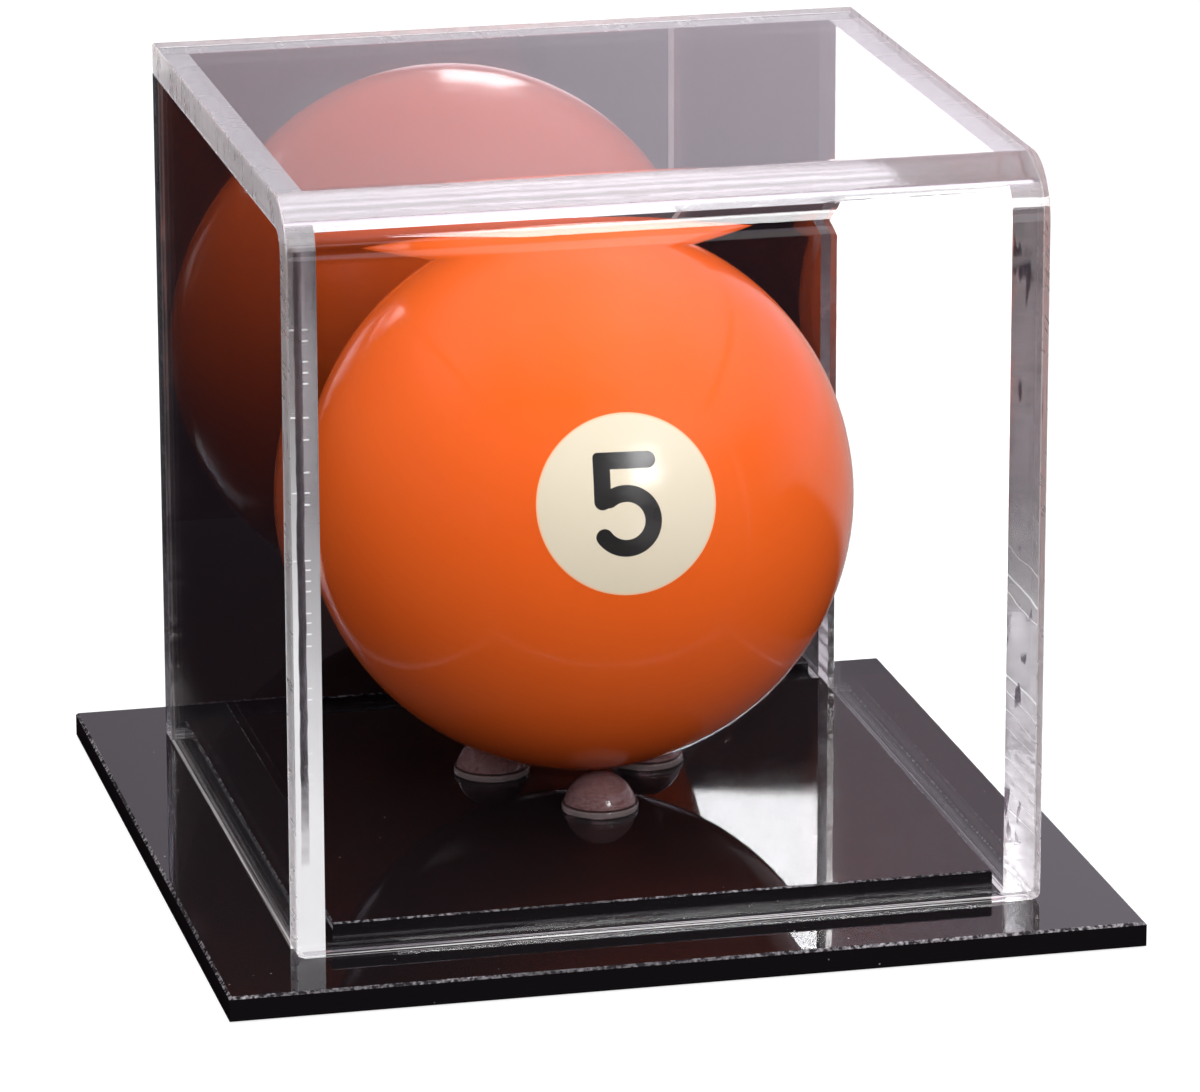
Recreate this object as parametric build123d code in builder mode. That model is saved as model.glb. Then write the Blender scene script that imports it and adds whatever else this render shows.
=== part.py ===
from build123d import *
import math
import os

os.makedirs("parts", exist_ok=True)

# The pool ball display case stands on Z = 0 with its front towards -Y.
# Its origin is the middle of the base's underside. Sizes are in millimetres.

# Black sheet: the base and the riser that locates the cover
base_side = 93.0
black_sheet = 2.5
base_edge_chamfer = 0.25
riser_edge_chamfer = 0.15
riser_play = 0.9

# Clear cover: one sheet bent over the front and the top, and two side panels
cover_width = 76.2
cover_depth = 75.0
cover_height = 76.2
clear_sheet = 3.3
bend_outer_radius = 6.0
bend_relief = 0.3

# Mirror back: a clear sheet with a silvered and painted layer behind it
mirror_sheet = 3.05
mirror_backing_layer = 0.25

# Ball, its two inlaid number discs and their numerals
ball_diameter = 57.15
ball_mirror_gap = 0.625
number_turn = -2.5
number_tilt = 13.7
disc_diameter = 18.3
disc_depth = 3.0
numeral_height = 10.5
numeral_width = 6.8
numeral_stroke = 1.7
numeral_depth = 1.2
numeral_lean = 3.0
bowl_outer_radius = 3.6
bar_end_inset = 0.45
stem_end_height = 0.35
bowl_start_angle = 128.0
bowl_end_angle = 215.0
bar_corner_radius = 0.5

# Clear bumpers that the ball rests on
bumper_count = 3
bumper_circle_radius = 9.6
bumper_diameter = 8.0
bumper_rim_height = 0.5
bumper_dome_height = 3.3
bumper_dome_inset = 0.15
ball_seat_gap = 0.15

# Levels and faces that follow from the sizes above
base_top = black_sheet
riser_top = base_top + black_sheet
cover_bottom = base_top
cover_top = cover_bottom + cover_height
ceiling = cover_top - clear_sheet
front_face = -cover_depth / 2
front_inner_face = front_face + clear_sheet
back_face = cover_depth / 2
mirror_total = mirror_sheet + mirror_backing_layer
mirror_front_face = back_face - mirror_total
side_inner_face = cover_width / 2 - clear_sheet
bend_inner_radius = bend_outer_radius - clear_sheet

riser_width = 2 * (side_inner_face - riser_play)
riser_front = front_inner_face + riser_play
riser_back = mirror_front_face - riser_play

# The dome is a cap of a sphere, and the ball's sphere rides on all three caps
dome_base_radius = bumper_diameter / 2 - bumper_dome_inset
dome_radius = (dome_base_radius**2 + bumper_dome_height**2) / (2 * bumper_dome_height)
dome_centre_height = bumper_rim_height + bumper_dome_height - dome_radius
ball_radius = ball_diameter / 2
ball_setback = mirror_front_face - ball_mirror_gap - ball_radius
ball_reach = ball_radius + dome_radius + ball_seat_gap
ball_rise = math.sqrt(ball_reach**2 - bumper_circle_radius**2)
ball_height = riser_top + dome_centre_height + ball_rise
ball_centre = Vector(0, ball_setback, ball_height)

# Base plate, with its upper edges broken so that they catch the light
with BuildPart() as base_plate:
    with BuildSketch(Plane.XY):
        Rectangle(base_side, base_side)
    extrude(amount=black_sheet)
    upper_edges = base_plate.faces().sort_by(Axis.Z)[-1].edges()
    chamfer(upper_edges, base_edge_chamfer)
base_plate.part.label = "base_plate"
export_step(base_plate.part, "parts/base_plate.step")

# Riser plate, cemented on the base inside the cover
riser_middle = (riser_front + riser_back) / 2
riser_depth = riser_back - riser_front
with BuildPart() as riser_plate:
    with BuildSketch(Plane.XY.offset(base_top)):
        with Locations((0, riser_middle)):
            Rectangle(riser_width, riser_depth)
    extrude(amount=black_sheet)
    upper_edges = riser_plate.faces().sort_by(Axis.Z)[-1].edges()
    chamfer(upper_edges, riser_edge_chamfer)
riser_plate.part.label = "riser_plate"
export_step(riser_plate.part, "parts/riser_plate.step")

# Bumpers: a low rim with a dome on it, one in front and two behind
dome_half_angle = math.atan2(dome_base_radius, bumper_rim_height - dome_centre_height) / 2
dome_shoulder = (
    dome_radius * math.sin(dome_half_angle),
    dome_centre_height + dome_radius * math.cos(dome_half_angle),
)
dome_foot = (dome_base_radius, bumper_rim_height)
dome_top = (0, bumper_rim_height + bumper_dome_height)
rim_foot = (bumper_diameter / 2, 0)
rim_edge = (bumper_diameter / 2, bumper_rim_height)
bumper_names = ["bumper_front", "bumper_rear_right", "bumper_rear_left"]
for index, bumper_name in enumerate(bumper_names):
    angle = math.radians(-90 + index * 360 / bumper_count)
    bumper_x = bumper_circle_radius * math.cos(angle)
    bumper_y = ball_setback + bumper_circle_radius * math.sin(angle)
    bumper_plane = Plane(origin=(bumper_x, bumper_y, riser_top), x_dir=(1, 0, 0), z_dir=(0, -1, 0))
    with BuildPart() as bumper:
        with BuildSketch(bumper_plane):
            with BuildLine():
                Polyline(dome_top, (0, 0), rim_foot, rim_edge, dome_foot)
                ThreePointArc(dome_foot, dome_shoulder, dome_top)
            make_face()
        revolve(axis=Axis((bumper_x, bumper_y, riser_top), (0, 0, 1)))
    bumper.part.label = bumper_name
    export_step(bumper.part, f"parts/{bumper_name}.step")

# Front and top of the cover: one sheet bent to a right angle
front_outline = [
    (front_face, cover_bottom),
    (front_face, cover_top),
    (back_face, cover_top),
    (back_face, ceiling),
    (front_inner_face, ceiling),
    (front_inner_face, cover_bottom),
]
with BuildPart() as cover_front_top_sheet:
    with BuildSketch(Plane.YZ):
        with BuildLine():
            Polyline(*front_outline, close=True)
        make_face()
        outer_corner = vertices().group_by(Axis.Y)[-1].sort_by(Axis.X)[0]
        fillet(outer_corner, bend_outer_radius)
        inner_corner = vertices().group_by(Axis.Y)[-2].sort_by(Axis.X)[0]
        fillet(inner_corner, bend_inner_radius)
    extrude(amount=cover_width / 2, both=True)
cover_front_top_sheet.part.label = "cover_front_top_sheet"
export_step(cover_front_top_sheet.part, "parts/cover_front_top_sheet.step")

# Side panels, between the front sheet and the mirror and under the top, rounded to follow the bend
panel_starts = {"cover_left_panel": -cover_width / 2, "cover_right_panel": side_inner_face}
for panel_name, panel_start in panel_starts.items():
    with BuildPart() as cover_panel:
        with BuildSketch(Plane.YZ.offset(panel_start)):
            with BuildLine():
                Polyline(
                    (front_inner_face, cover_bottom),
                    (front_inner_face, ceiling),
                    (mirror_front_face, ceiling),
                    (mirror_front_face, cover_bottom),
                    close=True,
                )
            make_face()
            bend_corner = vertices().group_by(Axis.Y)[-1].sort_by(Axis.X)[0]
            fillet(bend_corner, bend_inner_radius + bend_relief)
        extrude(amount=clear_sheet)
    cover_panel.part.label = panel_name
    export_step(cover_panel.part, f"parts/{panel_name}.step")

# Mirror back: the clear sheet in front and its silvered, painted layer behind
mirror_layers = {
    "mirror_panel": (mirror_front_face, mirror_sheet),
    "mirror_backing": (mirror_front_face + mirror_sheet, mirror_backing_layer),
}
for layer_name, (layer_face, layer_thickness) in mirror_layers.items():
    with BuildPart() as mirror_layer:
        with BuildSketch(Plane.XY.offset(cover_bottom)):
            with Locations((0, layer_face + layer_thickness / 2)):
                Rectangle(cover_width, layer_thickness)
        extrude(amount=ceiling - cover_bottom)
    mirror_layer.part.label = layer_name
    export_step(mirror_layer.part, f"parts/{layer_name}.step")

# Number faces: two opposite points of the ball, each with its own upright numeral plane
turn = math.radians(number_turn)
tilt = math.radians(number_tilt)
front_pole = Vector(
    math.sin(turn) * math.cos(tilt),
    -math.cos(turn) * math.cos(tilt),
    math.sin(tilt),
)
number_poles = {"front": front_pole, "rear": -front_pole}
number_planes = {}
for side, pole in number_poles.items():
    level = Vector(0, 0, 1).cross(pole).normalized()
    number_planes[side] = Plane(origin=ball_centre, x_dir=level, z_dir=pole)

# Numeral: a flat bar, a stem under its left end and a round bowl, all of one stroke
half_stroke = numeral_stroke / 2
bar_level = numeral_height / 2 - half_stroke
stem_line = -numeral_width / 2 + half_stroke
bar_end = numeral_width / 2 - bar_end_inset - half_stroke
bowl_radius = bowl_outer_radius - half_stroke
bowl_centre = (numeral_width / 2 - bowl_outer_radius, -numeral_height / 2 + bowl_outer_radius)
bowl_sweep = bowl_end_angle - 360 - bowl_start_angle
with BuildSketch() as numeral_outline:
    with BuildLine(mode=Mode.PRIVATE) as bar_line:
        Line((stem_line, bar_level), (bar_end, bar_level))
    with BuildLine(mode=Mode.PRIVATE) as stem:
        Line((stem_line, bar_level), (stem_line, stem_end_height))
    with BuildLine(mode=Mode.PRIVATE) as bowl:
        CenterArc(bowl_centre, bowl_radius, bowl_start_angle, bowl_sweep)
    for stroke_line in (bar_line, stem, bowl):
        SlotArc(stroke_line.line.edge(), numeral_stroke)
    with Locations((stem_line, bar_level)):
        RectangleRounded(numeral_stroke, numeral_stroke, bar_corner_radius)

for side, plane in number_planes.items():
    disc_floor = plane.offset(ball_radius - disc_depth)
    numeral_floor = plane.offset(ball_radius - numeral_depth)
    with BuildPart() as numeral:
        with BuildSketch(numeral_floor.rotated((0, 0, -numeral_lean))):
            add(numeral_outline.sketch)
        extrude(amount=2 * numeral_depth)
        with Locations(ball_centre):
            Sphere(ball_radius, mode=Mode.INTERSECT)
    numeral.part.label = f"numeral_{side}"
    export_step(numeral.part, f"parts/numeral_{side}.step")
    with BuildPart() as number_disc:
        with BuildSketch(disc_floor):
            Circle(disc_diameter / 2)
        extrude(amount=2 * disc_depth)
        with Locations(ball_centre):
            Sphere(ball_radius, mode=Mode.INTERSECT)
        add(numeral.part, mode=Mode.SUBTRACT)
    number_disc.part.label = f"number_disc_{side}"
    export_step(number_disc.part, f"parts/number_disc_{side}.step")

# Ball body, with a flat-bottomed pocket for each number disc
with BuildPart() as pool_ball:
    with Locations(ball_centre):
        Sphere(ball_radius)
    for plane in number_planes.values():
        with BuildSketch(plane.offset(ball_radius - disc_depth)):
            Circle(disc_diameter / 2)
        extrude(amount=2 * disc_depth, mode=Mode.SUBTRACT)
pool_ball.part.label = "pool_ball"
export_step(pool_ball.part, "parts/pool_ball.step")

print(f"ball centre {ball_centre.X:.2f}, {ball_centre.Y:.2f}, {ball_centre.Z:.2f}")
print(f"gap from ball to front sheet {ball_setback - ball_radius - front_inner_face:.2f}")
print(f"headroom over ball {ceiling - ball_height - ball_radius:.2f}")
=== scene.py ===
"""Pool ball display case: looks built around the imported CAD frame, in metres."""

import logging
import math
from dataclasses import dataclass, field
from enum import Enum

import bmesh
import bpy
from mathutils import Matrix, Vector


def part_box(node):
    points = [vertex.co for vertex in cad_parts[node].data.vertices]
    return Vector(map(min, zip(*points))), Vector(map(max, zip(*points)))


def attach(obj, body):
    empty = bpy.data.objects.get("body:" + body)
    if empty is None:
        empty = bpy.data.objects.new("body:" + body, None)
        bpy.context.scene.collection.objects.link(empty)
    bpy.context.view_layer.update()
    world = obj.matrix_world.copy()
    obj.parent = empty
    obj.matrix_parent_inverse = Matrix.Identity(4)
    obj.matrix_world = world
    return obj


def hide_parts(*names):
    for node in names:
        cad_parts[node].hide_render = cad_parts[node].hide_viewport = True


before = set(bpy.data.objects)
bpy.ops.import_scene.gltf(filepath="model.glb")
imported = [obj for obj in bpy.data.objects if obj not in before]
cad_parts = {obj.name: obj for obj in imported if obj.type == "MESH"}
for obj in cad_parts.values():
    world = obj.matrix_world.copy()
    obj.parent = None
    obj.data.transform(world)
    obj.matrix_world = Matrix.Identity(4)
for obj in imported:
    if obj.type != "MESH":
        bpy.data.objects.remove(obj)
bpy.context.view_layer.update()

log = logging.getLogger("display_case")

MM = 0.001
EDGE_PLACE = "edge_place"
ACRYLIC_REFRACTION = 1.49

# Watts for each square metre and unit of radiance of an area lamp
LAMP_POWER = 4.0

Pair = tuple[float, float]
Point = tuple[float, float, float]
Colour = tuple[float, float, float]
Socket = bpy.types.NodeSocket
Material = bpy.types.Material
Piece = bpy.types.Object


class Side(Enum):
    """The two sides of the cover."""

    LEFT = "left"
    RIGHT = "right"


class Shading(Enum):
    """How a mesh's faces are shaded."""

    FLAT = "flat"
    SMOOTH = "smooth"


class SheetFace(Enum):
    """The faces of a clear sheet, by the place of their material."""

    BROAD = 0
    SAWN = 1
    GROUND = 2
    CEMENTED = 3
    JOINED = 4


class Mixed(Enum):
    """What a mix node mixes: its data type, its first input and its output."""

    COLOURS = ("RGBA", 6, 2)
    VALUES = ("FLOAT", 2, 0)


def heading(azimuth: float, elevation: float) -> Vector:
    """Gives the direction at an azimuth from the front and an elevation, both in degrees."""
    a, e = math.radians(azimuth), math.radians(elevation)
    return Vector((math.sin(a) * math.cos(e), -math.cos(a) * math.cos(e), math.sin(e)))


@dataclass(frozen=True)
class Station:
    """One cross-section of the bent sheet: (y, z) of its outer and inner faces."""

    outer: Pair
    inner: Pair
    along: float
    inset: float

    def at(self, share: float) -> Pair:
        """Gives the (y, z) at a share of the way from the outer to the inner face."""
        return tuple(a + (b - a) * share for a, b in zip(self.outer, self.inner))


# Node helpers


class NodeBoard:
    """Adds and links nodes of one node tree."""

    def __init__(self, tree: bpy.types.NodeTree) -> None:
        """Starts from an empty tree."""
        self.tree = tree
        self.tree.nodes.clear()

    def add(self, kind: str, **settings: object) -> bpy.types.Node:
        """Adds a node.

        Args:
            kind: The node's type name.
            **settings: Properties to set on the node.

        Returns:
            The new node.
        """
        node = self.tree.nodes.new(kind)
        for name, value in settings.items():
            setattr(node, name, value)
        return node

    def link(self, source: Socket, target: Socket) -> None:
        """Links an output to an input."""
        self.tree.links.new(source, target)

    def give(self, given: object, target: Socket) -> None:
        """Links an output to an input, or sets the input's plain value.

        Args:
            given: The output's socket, or the plain value.
            target: The input's socket.
        """
        if isinstance(given, Socket):
            self.link(given, target)
        else:
            target.default_value = given

    def value(
        self, operation: str, first: object, second: object = 0.0, third: object = 0.0
    ) -> Socket:
        """Adds a math node.

        Args:
            operation: The operation's name.
            first: A socket or a number.
            second: A socket or a number.
            third: A socket or a number.

        Returns:
            The result's socket.
        """
        node = self.add("ShaderNodeMath", operation=operation)
        for socket, given in zip(node.inputs, (first, second, third)):
            self.give(given, socket)
        return node.outputs[0]

    def product(self, first: object, *others: object) -> Socket:
        """Multiplies two or more sockets or numbers.

        Args:
            first: A socket or a number.
            *others: Sockets or numbers.

        Returns:
            The result's socket.
        """
        for other in others:
            first = self.value("MULTIPLY", first, other)
        return first

    def axes(self, place: Socket) -> tuple[Socket, ...]:
        """Splits coordinates.

        Args:
            place: The coordinates' socket.

        Returns:
            Their X, Y and Z sockets.
        """
        node = self.add("ShaderNodeSeparateXYZ")
        self.link(place, node.inputs[0])
        return tuple(node.outputs)

    def vector(self, operation: str, first: Socket, second: Point = (0.0, 0.0, 0.0)) -> Socket:
        """Adds a vector math node with a fixed second vector.

        Args:
            operation: The operation's name.
            first: The first vector's socket.
            second: The second vector.

        Returns:
            The result's socket.
        """
        node = self.add("ShaderNodeVectorMath", operation=operation)
        self.link(first, node.inputs[0])
        node.inputs[1].default_value = second
        return node.outputs["Value" if operation == "LENGTH" else "Vector"]

    def remap(self, source: Socket, lows: Pair, highs: Pair = (0.0, 1.0)) -> Socket:
        """Maps a value from one range to another, clamped.

        Args:
            source: The value's socket.
            lows: The range that it comes from.
            highs: The range that it goes to.

        Returns:
            The result's socket.
        """
        node = self.add("ShaderNodeMapRange")
        self.link(source, node.inputs["Value"])
        for label, value in zip(("From Min", "From Max", "To Min", "To Max"), (*lows, *highs)):
            node.inputs[label].default_value = value
        return node.outputs["Result"]

    def blend(self, factor: Socket, first: object, second: object) -> Socket:
        """Mixes two colours, each a colour or a socket, by the share of the second."""
        return self.mix(Mixed.COLOURS, factor, first, second)

    def mix(self, mixed: Mixed, factor: Socket, first: object, second: object) -> Socket:
        """Mixes two colours or two values.

        Args:
            mixed: What is mixed.
            factor: The share of the second.
            first: The colour, value or socket at 0.
            second: The colour, value or socket at 1.

        Returns:
            The result's socket.
        """
        kind, number, output = mixed.value
        node = self.add("ShaderNodeMix", data_type=kind)
        self.link(factor, node.inputs["Factor"])
        for step, given in enumerate((first, second)):
            given = (*given, 1.0) if isinstance(given, tuple) else given
            self.give(given, node.inputs[number + step])
        return node.outputs[output]


class SurfaceBoard(NodeBoard):
    """A material's nodes: one Principled shader and the patterns that feed it."""

    def __init__(self, name: str) -> None:
        """Makes the material with its Principled shader.

        Args:
            name: The material's name.
        """
        self.material = bpy.data.materials.new(name)
        self.material.use_nodes = True
        super().__init__(self.material.node_tree)
        output = self.add("ShaderNodeOutputMaterial")
        self.shader = self.add("ShaderNodeBsdfPrincipled")
        self.link(self.shader.outputs[0], output.inputs["Surface"])
        self.place = self.add("ShaderNodeTexCoord").outputs["Object"]

    def constant(self, **sockets: object) -> None:
        """Sets plain values on the shader's own sockets; underscores stand for spaces."""
        for name, value in sockets.items():
            self.shader.inputs[name.replace("_", " ")].default_value = value

    def feed(self, name: str, source: Socket) -> None:
        """Links an output to one of the shader's own sockets."""
        self.link(source, self.shader.inputs[name])

    def noise(self, scale: float, detail: float = 2.0, place: Socket | None = None) -> Socket:
        """Adds a noise pattern.

        Args:
            scale: Its scale, per metre.
            detail: Its octaves.
            place: The coordinates, the object's own if None.

        Returns:
            The pattern's value socket.
        """
        node = self.add("ShaderNodeTexNoise")
        self.link(place or self.place, node.inputs["Vector"])
        node.inputs["Scale"].default_value = scale
        node.inputs["Detail"].default_value = detail
        return node.outputs["Fac"]

    def grain(self, edge: Socket, scale: Pair, turn: float = 0.0, detail: float = 2.0) -> Socket:
        """Adds a noise pattern that is stretched along a sheet's edge.

        Args:
            edge: The edge coordinates' socket.
            scale: Its scale along and across the edge, per metre.
            turn: Its turn on the edge, in radians.
            detail: Its octaves.

        Returns:
            The pattern's value socket.
        """
        node = self.add("ShaderNodeMapping")
        self.link(edge, node.inputs["Vector"])
        node.inputs["Scale"].default_value = (*scale, 1.0)
        node.inputs["Rotation"].default_value = (0.0, 0.0, turn)
        return self.noise(1.0, detail, node.outputs["Vector"])

    def chance(self, turns: Socket) -> Socket:
        """Draws one random value for each whole turn.

        Args:
            turns: The socket that counts the turns.

        Returns:
            The value's socket.
        """
        node = self.add("ShaderNodeTexWhiteNoise", noise_dimensions="1D")
        self.link(self.value("FLOOR", turns), node.inputs["W"])
        return node.outputs["Value"]

    def specks(self, scale: float, size: float, rarity: float) -> Socket:
        """Adds small scattered specks.

        Args:
            scale: How many cells per metre.
            size: A speck's radius as a share of a cell.
            rarity: The share of cells without a speck.

        Returns:
            A socket that is 1 in a speck and 0 outside.
        """
        node = self.add("ShaderNodeTexVoronoi")
        self.link(self.place, node.inputs["Vector"])
        node.inputs["Scale"].default_value = scale
        near = self.remap(node.outputs["Distance"], (size, size * 0.5))
        chosen = self.add("ShaderNodeSeparateColor")
        self.link(node.outputs["Color"], chosen.inputs["Color"])
        return self.product(near, self.value("GREATER_THAN", chosen.outputs[0], rarity))

    def bump(self, height: Socket, depth: float, strength: float = 1.0) -> None:
        """Feeds a height pattern to the shader's normal.

        Args:
            height: The height pattern's socket.
            depth: The pattern's height in metres.
            strength: The bump's strength.
        """
        node = self.add("ShaderNodeBump")
        node.inputs["Strength"].default_value = strength
        node.inputs["Distance"].default_value = depth
        self.link(height, node.inputs["Height"])
        self.feed("Normal", node.outputs["Normal"])


# Finishes


@dataclass(frozen=True)
class BlackSheetFinish:
    """Polished black acrylic with dust, rub marks and a fine painted highlight along its upper
    edges.
    """

    name: str
    middle: Pair
    half: Pair
    top: float
    chamfer: float
    colour: Colour = (0.006, 0.005, 0.006)
    dust_colour: Colour = (0.2, 0.18, 0.19)
    # Colour of the painted highlight along the upper edges
    edge_highlight_colour: Colour = (0.3, 0.28, 0.3)
    speck_and_edge_roughness: float = 0.45
    rub_roughness: Pair = (0.012, 0.03)
    edge_reach: float = 1.1
    refraction: float = ACRYLIC_REFRACTION

    def edge_highlight_mask(self, board: SurfaceBoard) -> Socket:
        """Marks the chamfer round the upper face for a painted highlight, broken up in patches.

        Args:
            board: The material's node board.

        Returns:
            A socket that is 1 on the parts of the edge that get the painted highlight.
        """
        *sides, height = board.axes(board.place)
        reach = []
        for place, middle, half in zip(sides, self.middle, self.half):
            away = board.value("ABSOLUTE", board.value("SUBTRACT", place, middle))
            reach.append(board.value("SUBTRACT", away, half))
        drop = board.value("SUBTRACT", height, self.top)
        over = board.value("ADD", board.value("MAXIMUM", *reach), drop)
        on_edge = board.value("GREATER_THAN", over, -self.edge_reach * self.chamfer)
        broken = board.remap(board.noise(2300.0), (0.42, 0.68))
        # Varies the painted highlight's strength in patches
        worn = board.remap(board.noise(55.0), (0.35, 0.65), (0.35, 1.0))
        return board.product(on_edge, broken, worn)

    def material(self) -> Material:
        """Builds the material.

        Returns:
            The new material.
        """
        board = SurfaceBoard(self.name)
        board.constant(IOR=self.refraction)
        dust = board.specks(scale=420.0, size=0.05, rarity=0.6)
        edge = self.edge_highlight_mask(board)
        dusty = board.blend(dust, self.colour, self.dust_colour)
        # The chamfer's light grey line is a painted highlight, set as base colour
        board.feed("Base Color", board.blend(edge, dusty, self.edge_highlight_colour))
        rub = board.remap(board.noise(60.0, detail=3.0), (0.35, 0.75), self.rub_roughness)
        speck_and_edge_rough = board.product(board.value("MAXIMUM", dust, edge), self.speck_and_edge_roughness)
        board.feed("Roughness", board.value("MAXIMUM", speck_and_edge_rough, rub))
        return board.material


@dataclass(frozen=True)
class ClearSheetFinish:
    """Polished clear acrylic with the faintest rub marks, hazy and rippled where it was bent."""

    name: str
    bend: Pair
    tint: Colour = (0.99, 0.99, 0.995)
    roughness: Pair = (0.0, 0.012)
    bend_roughness: float = 0.16
    bend_fade: Pair = (0.5 * MM, 0.6 * MM)
    ripple_depth: float = 0.00004
    refraction: float = ACRYLIC_REFRACTION

    def material(self) -> Material:
        """Builds the material.

        Returns:
            The new material.
        """
        board = SurfaceBoard(self.name)
        board.constant(Base_Color=(*self.tint, 1.0), Transmission_Weight=1.0, IOR=self.refraction)
        rub = board.remap(board.noise(90.0, detail=4.0), (0.55, 0.8), self.roughness)
        along = board.axes(board.add("ShaderNodeUVMap", uv_map=EDGE_PLACE).outputs[0])[0]
        start, end = self.bend
        rising = board.remap(along, (start, start + self.bend_fade[0]))
        falling = board.remap(along, (end, end + self.bend_fade[1]), (1.0, 0.0))
        bent = board.product(rising, falling)
        board.feed("Roughness", board.value("MULTIPLY_ADD", bent, self.bend_roughness, rub))
        board.bump(board.product(board.noise(420.0), bent), self.ripple_depth)
        return board.material


@dataclass(frozen=True)
class CutEdgeFinish:
    """Clear acrylic cut with a blade, with marks across the sheet and nicks along it."""

    name: str
    clearness: float
    roughness: Pair
    mark_depth: float
    tint: Colour = (0.97, 0.96, 0.975)
    nick: Colour = (0.16, 0.14, 0.17)
    mark_scale: Pair = (1100.0, 200.0)
    mark_turn: float = 0.25
    patch_scale: Pair = (160.0, 90.0)
    patch_start: Pair = (0.5, 0.56)
    nick_scale: Pair = (170.0, 900.0)
    nick_turn: float = 0.08
    nick_start: float = 0.66
    nick_fade: float = 0.04
    mark_share: float = 0.6
    refraction: float = ACRYLIC_REFRACTION

    def material(self) -> Material:
        """Builds the material.

        Returns:
            The new material.
        """
        board = SurfaceBoard(self.name)
        board.constant(Transmission_Weight=self.clearness, IOR=self.refraction)
        edge = board.add("ShaderNodeUVMap", uv_map=EDGE_PLACE).outputs[0]
        marks = board.grain(edge, self.mark_scale, self.mark_turn, 3.0)
        patches = board.grain(edge, self.patch_scale)
        nicks = board.grain(edge, self.nick_scale, self.nick_turn)
        sharp = board.remap(nicks, (self.nick_start, self.nick_start + self.nick_fade))
        nicked = board.product(sharp, board.remap(patches, self.patch_start))
        board.feed("Base Color", board.blend(nicked, self.tint, self.nick))
        milky = self.milkiness(board, edge, marks)
        if milky is not None:
            clear = board.value("MULTIPLY_ADD", milky, -self.clearness, self.clearness)
            board.feed("Transmission Weight", clear)
        softer = board.product(patches, 1 - self.mark_share)
        mixed = board.value("MULTIPLY_ADD", marks, self.mark_share, softer)
        board.feed("Roughness", board.remap(mixed, (0.38, 0.62), self.roughness))
        board.bump(marks, self.mark_depth)
        return board.material

    def milkiness(self, board: SurfaceBoard, edge: Socket, marks: Socket) -> Socket | None:
        """Gives a socket that is 1 where no light passes straight, or None on an even edge."""
        return None


@dataclass(frozen=True)
class SawnFinish(CutEdgeFinish):
    """Free edges as the saw left them."""

    name: str = "clear_acrylic_sawn"
    clearness: float = 0.72
    roughness: Pair = (0.24, 0.42)
    mark_depth: float = 0.00004


@dataclass(frozen=True)
class GroundFinish(CutEdgeFinish):
    """Lower edges, ground flat so that the cover stands even, with pale streaks along them."""

    name: str = "clear_acrylic_ground"
    clearness: float = 0.97
    roughness: Pair = (0.01, 0.05)
    mark_depth: float = 0.00001
    streak_haze: float = 0.85
    streak_start: Pair = (0.47, 0.55)
    mark_scale: Pair = (15.0, 1500.0)
    mark_turn: float = 0.0

    def milkiness(self, board: SurfaceBoard, edge: Socket, marks: Socket) -> Socket:
        """Turns the grinding marks into streaks."""
        return board.remap(marks, self.streak_start, (0.0, self.streak_haze))


@dataclass(frozen=True)
class CementedFinish(CutEdgeFinish):
    """Edges cemented under the top sheet, a little milky."""

    name: str = "clear_acrylic_cemented"
    clearness: float = 0.78
    roughness: Pair = (0.08, 0.3)
    mark_depth: float = 0.00003


@dataclass(frozen=True)
class JoinedFinish(CutEdgeFinish):
    """Upright edges cemented to the next sheet, almost clear, slashed in their lower stretch."""

    name: str = "clear_acrylic_joined"
    clearness: float = 0.93
    roughness: Pair = (0.01, 0.16)
    mark_depth: float = 0.00002
    nick_start: float = 0.58
    slash_end: Pair = (29.4 * MM, 42 * MM)
    slash_pitch: float = 1.7 * MM
    slash_slant: float = 1.1
    slash_jitter: float = 1.5
    slash_width: Pair = (0.0, 0.16)
    slash_haze: float = 0.85
    cloud_haze: Pair = (0.3, 0.21)
    cloud_scale: Pair = (200.0, 120.0)

    def milkiness(self, board: SurfaceBoard, edge: Socket, marks: Socket) -> Socket:
        """Lets white slanted slashes cross the first stretch of the edge.

        Args:
            board: The material's node board.
            edge: The edge coordinates' socket.
            marks: The blade marks' socket, which is not used.

        Returns:
            The milkiness's socket.
        """
        along, across, _ = board.axes(edge)
        slanted = board.value("MULTIPLY_ADD", across, self.slash_slant, along)
        uneven = board.grain(edge, self.cloud_scale)
        turns = board.value("DIVIDE", slanted, self.slash_pitch)
        turns = board.value("MULTIPLY_ADD", uneven, self.slash_jitter, turns)
        width = board.remap(board.chance(turns), (0.3, 0.9), self.slash_width)
        cut = board.value("LESS_THAN", board.value("FRACT", turns), width)
        cloud = board.remap(uneven, (0.4, 0.6), self.cloud_haze)
        near = board.value("MAXIMUM", board.product(cut, self.slash_haze), cloud)
        return board.product(near, board.remap(along, self.slash_end, (1.0, 0.0)))


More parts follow.
